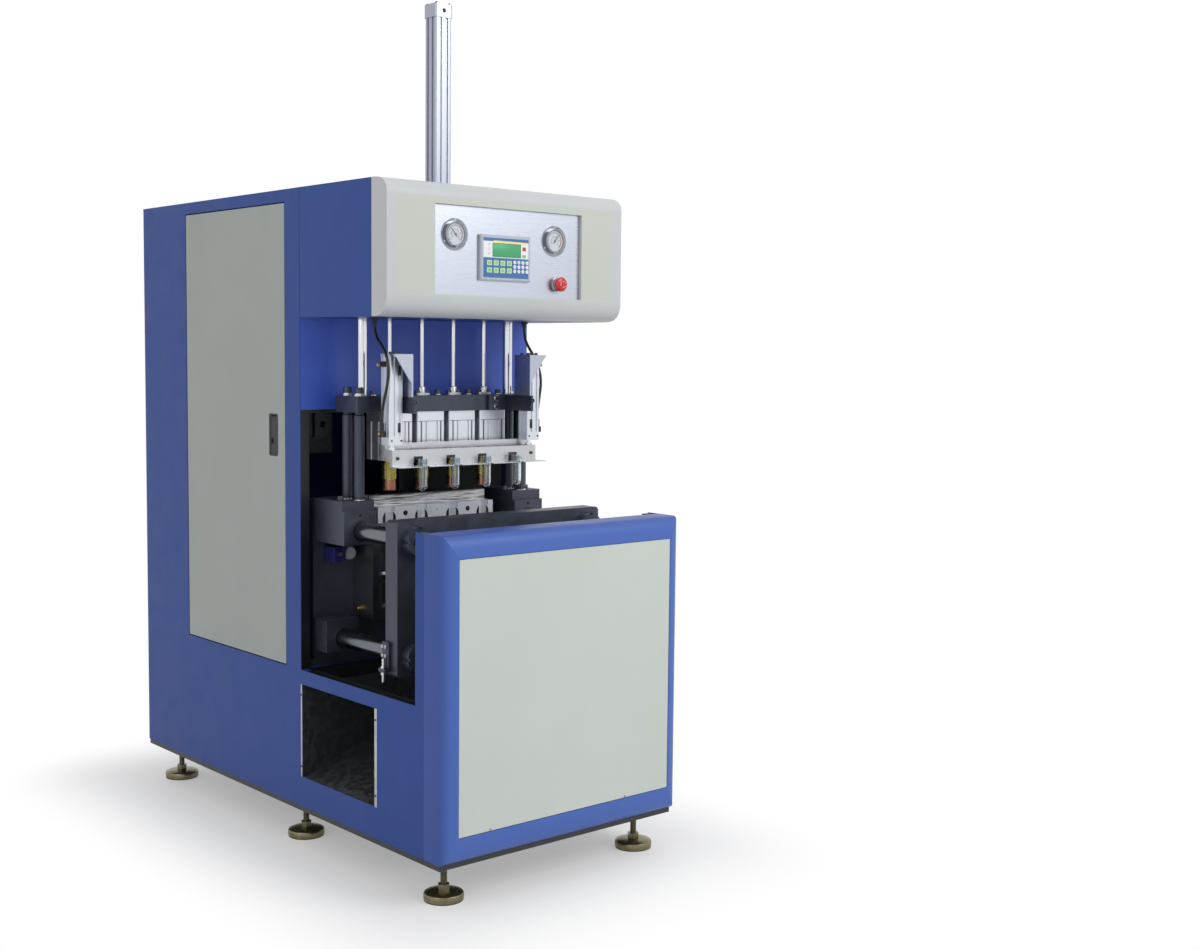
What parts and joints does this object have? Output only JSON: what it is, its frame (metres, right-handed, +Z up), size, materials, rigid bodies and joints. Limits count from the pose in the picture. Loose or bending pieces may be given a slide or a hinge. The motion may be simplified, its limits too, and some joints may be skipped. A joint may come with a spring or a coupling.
{
  "type": "blow moulding machine",
  "caption": "Semi-automatic stretch blow moulding machine: sheet metal cabinet and head, sliding tie bar clamp, stretch rods, blow nozzles, preform loader and levelling feet.",
  "frame": {"origin": "on the floor, under the middle of the machine's outer box", "axes": "+Z up, the operator's side with the gauges faces -Y, +X to the operator's right"},
  "size_m": [0.8, 1.665, 2.38],
  "materials": {
    "blue_paint": "smooth gloss powder coat, deep blue",
    "door_paint": "satin powder coat, pale grey green",
    "cream_paint": "satin powder coat, pale grey",
    "head_paint": "satin moulded cover, pale grey",
    "black_paint": "matt black paint",
    "black_steel": "blackened machined steel with an oily sheen",
    "stainless": "brushed stainless sheet",
    "machined_steel": "milled and ground steel",
    "chrome": "hard chrome, ground and polished",
    "aluminium": "anodised extruded aluminium",
    "mould_aluminium": "milled aluminium with polished cavities",
    "brass": "turned brass",
    "zinc": "yellow zinc plate",
    "galvanised": "galvanised sheet",
    "black_plastic": "fine textured black plastic",
    "grey_plastic": "satin grey plastic",
    "membrane": "printed key film",
    "red_plastic": "gloss red plastic",
    "needle_black": "black gauge needle",
    "clear_plastic": "clear moulded bottle plastic",
    "hose": "black air hose",
    "tank_paint": "grey enamel"
  },
  "bodies": {
    "machine": {"base_frame": "black_paint", "upper_frame": "black_paint", "levelling_feet": "zinc", "left_side_sheet": "blue_paint", "right_side_sheet": "blue_paint", "rear_sheet": "blue_paint", "cabinet_roof": "blue_paint", "front_wall": "blue_paint", "chute": "galvanised", "lower_cover": "blue_paint", "cover_panel": "cream_paint", "head_housing": "blue_paint", "head_cover": "head_paint", "control_plate": "stainless", "gauge_cases": "chrome", "panel_case": "grey_plastic", "key_membrane": "membrane", "stop_collar": "black_plastic", "stretch_cylinder": "aluminium", "guide_rods": "chrome", "cylinder_bar": "black_steel", "bar_columns": "black_steel", "rod_collars": "black_steel", "blow_cylinders": "aluminium", "loader_brackets": "stainless", "loader_cylinders": "aluminium", "rear_platen": "black_steel", "bearing_blocks": "black_steel", "rear_mould": "mould_aluminium", "neck_plate": "machined_steel", "lock_bar": "machined_steel", "clamp_cylinder": "tank_paint", "left_hose": "hose", "right_hose": "hose", "hose_fittings": "black_plastic", "air_tank": "tank_paint", "electric_board": "galvanised"},
    "left_door": {"left_door": "door_paint"},
    "left_latch": {"left_door_latch": "black_plastic"},
    "right_door": {"right_door": "door_paint"},
    "right_latch": {"right_door_latch": "black_plastic"},
    "clamp": {"front_platen": "black_steel", "front_mould": "mould_aluminium", "tie_bars": "chrome", "tie_nuts": "black_steel", "crosshead": "black_steel", "clamp_ram": "chrome"},
    "stretcher": {"stretch_ram": "chrome", "stretch_crossbar": "black_steel", "stretch_rods": "chrome"},
    "loader": {"loader_beam": "machined_steel", "loader_rods": "chrome", "preforms": "clear_plastic"},
    "stop_button": {"stop_button": "red_plastic"},
    "left_needle": {"left_gauge_needle": "needle_black"},
    "right_needle": {"right_gauge_needle": "needle_black"},
    "nozzle_1": {"blow_nozzle_1": "brass"},
    "nozzle_2": {"blow_nozzle_2": "brass"},
    "nozzle_3": {"blow_nozzle_3": "brass"},
    "nozzle_4": {"blow_nozzle_4": "brass"}
  },
  "joints": [
    {"name": "left_door_hinge", "type": "hinge", "parent": "machine", "child": "left_door", "pos_m": [-0.394, 0.5315, 0.512], "axis": [0, 0, -1], "range_deg": [0, 105]},
    {"name": "left_latch_lift", "type": "hinge", "parent": "left_door", "child": "left_latch", "pos_m": [-0.394, 0.0055, 1.209], "axis": [0, 1, 0], "range_deg": [0, 35]},
    {"name": "right_door_hinge", "type": "hinge", "parent": "machine", "child": "right_door", "pos_m": [0.394, 0.5315, 0.512], "axis": [0, 0, 1], "range_deg": [0, 105]},
    {"name": "right_latch_lift", "type": "hinge", "parent": "right_door", "child": "right_latch", "pos_m": [0.394, 0.0055, 1.209], "axis": [0, -1, 0], "range_deg": [0, 35]},
    {"name": "clamp_slide", "type": "slide", "parent": "machine", "child": "clamp", "axis": [0, 1, 0], "range_m": [0, 0.15]},
    {"name": "stretch_slide", "type": "slide", "parent": "machine", "child": "stretcher", "axis": [0, 0, -1], "range_m": [0, 0.25]},
    {"name": "nozzle_1_slide", "type": "slide", "parent": "machine", "child": "nozzle_1", "axis": [0, 0, -1], "range_m": [0, 0.039]},
    {"name": "nozzle_2_slide", "type": "slide", "parent": "machine", "child": "nozzle_2", "axis": [0, 0, -1], "range_m": [0, 0.039]},
    {"name": "nozzle_3_slide", "type": "slide", "parent": "machine", "child": "nozzle_3", "axis": [0, 0, -1], "range_m": [0, 0.039]},
    {"name": "nozzle_4_slide", "type": "slide", "parent": "machine", "child": "nozzle_4", "axis": [0, 0, -1], "range_m": [0, 0.039]},
    {"name": "loader_slide", "type": "slide", "parent": "machine", "child": "loader", "axis": [0, 0, -1], "range_m": [0, 0.058]},
    {"name": "stop_press", "type": "slide", "parent": "machine", "child": "stop_button", "axis": [0, 1, 0], "range_m": [0, 0.004], "stiffness_N_per_m": 600},
    {"name": "left_needle_turn", "type": "hinge", "parent": "machine", "child": "left_needle", "pos_m": [-0.182, -0.566, 1.709], "axis": [0, 1, 0], "range_deg": [-93, 177], "stiffness_Nm_per_rad": 0.001},
    {"name": "right_needle_turn", "type": "hinge", "parent": "machine", "child": "right_needle", "pos_m": [0.157, -0.566, 1.709], "axis": [0, 1, 0], "range_deg": [-173, 97], "stiffness_Nm_per_rad": 0.001}
  ],
  "couplings": [
    {"joint": "nozzle_2_slide", "follows": "nozzle_1_slide", "ratio": 1},
    {"joint": "nozzle_3_slide", "follows": "nozzle_1_slide", "ratio": 1},
    {"joint": "nozzle_4_slide", "follows": "nozzle_1_slide", "ratio": 1}
  ]
}
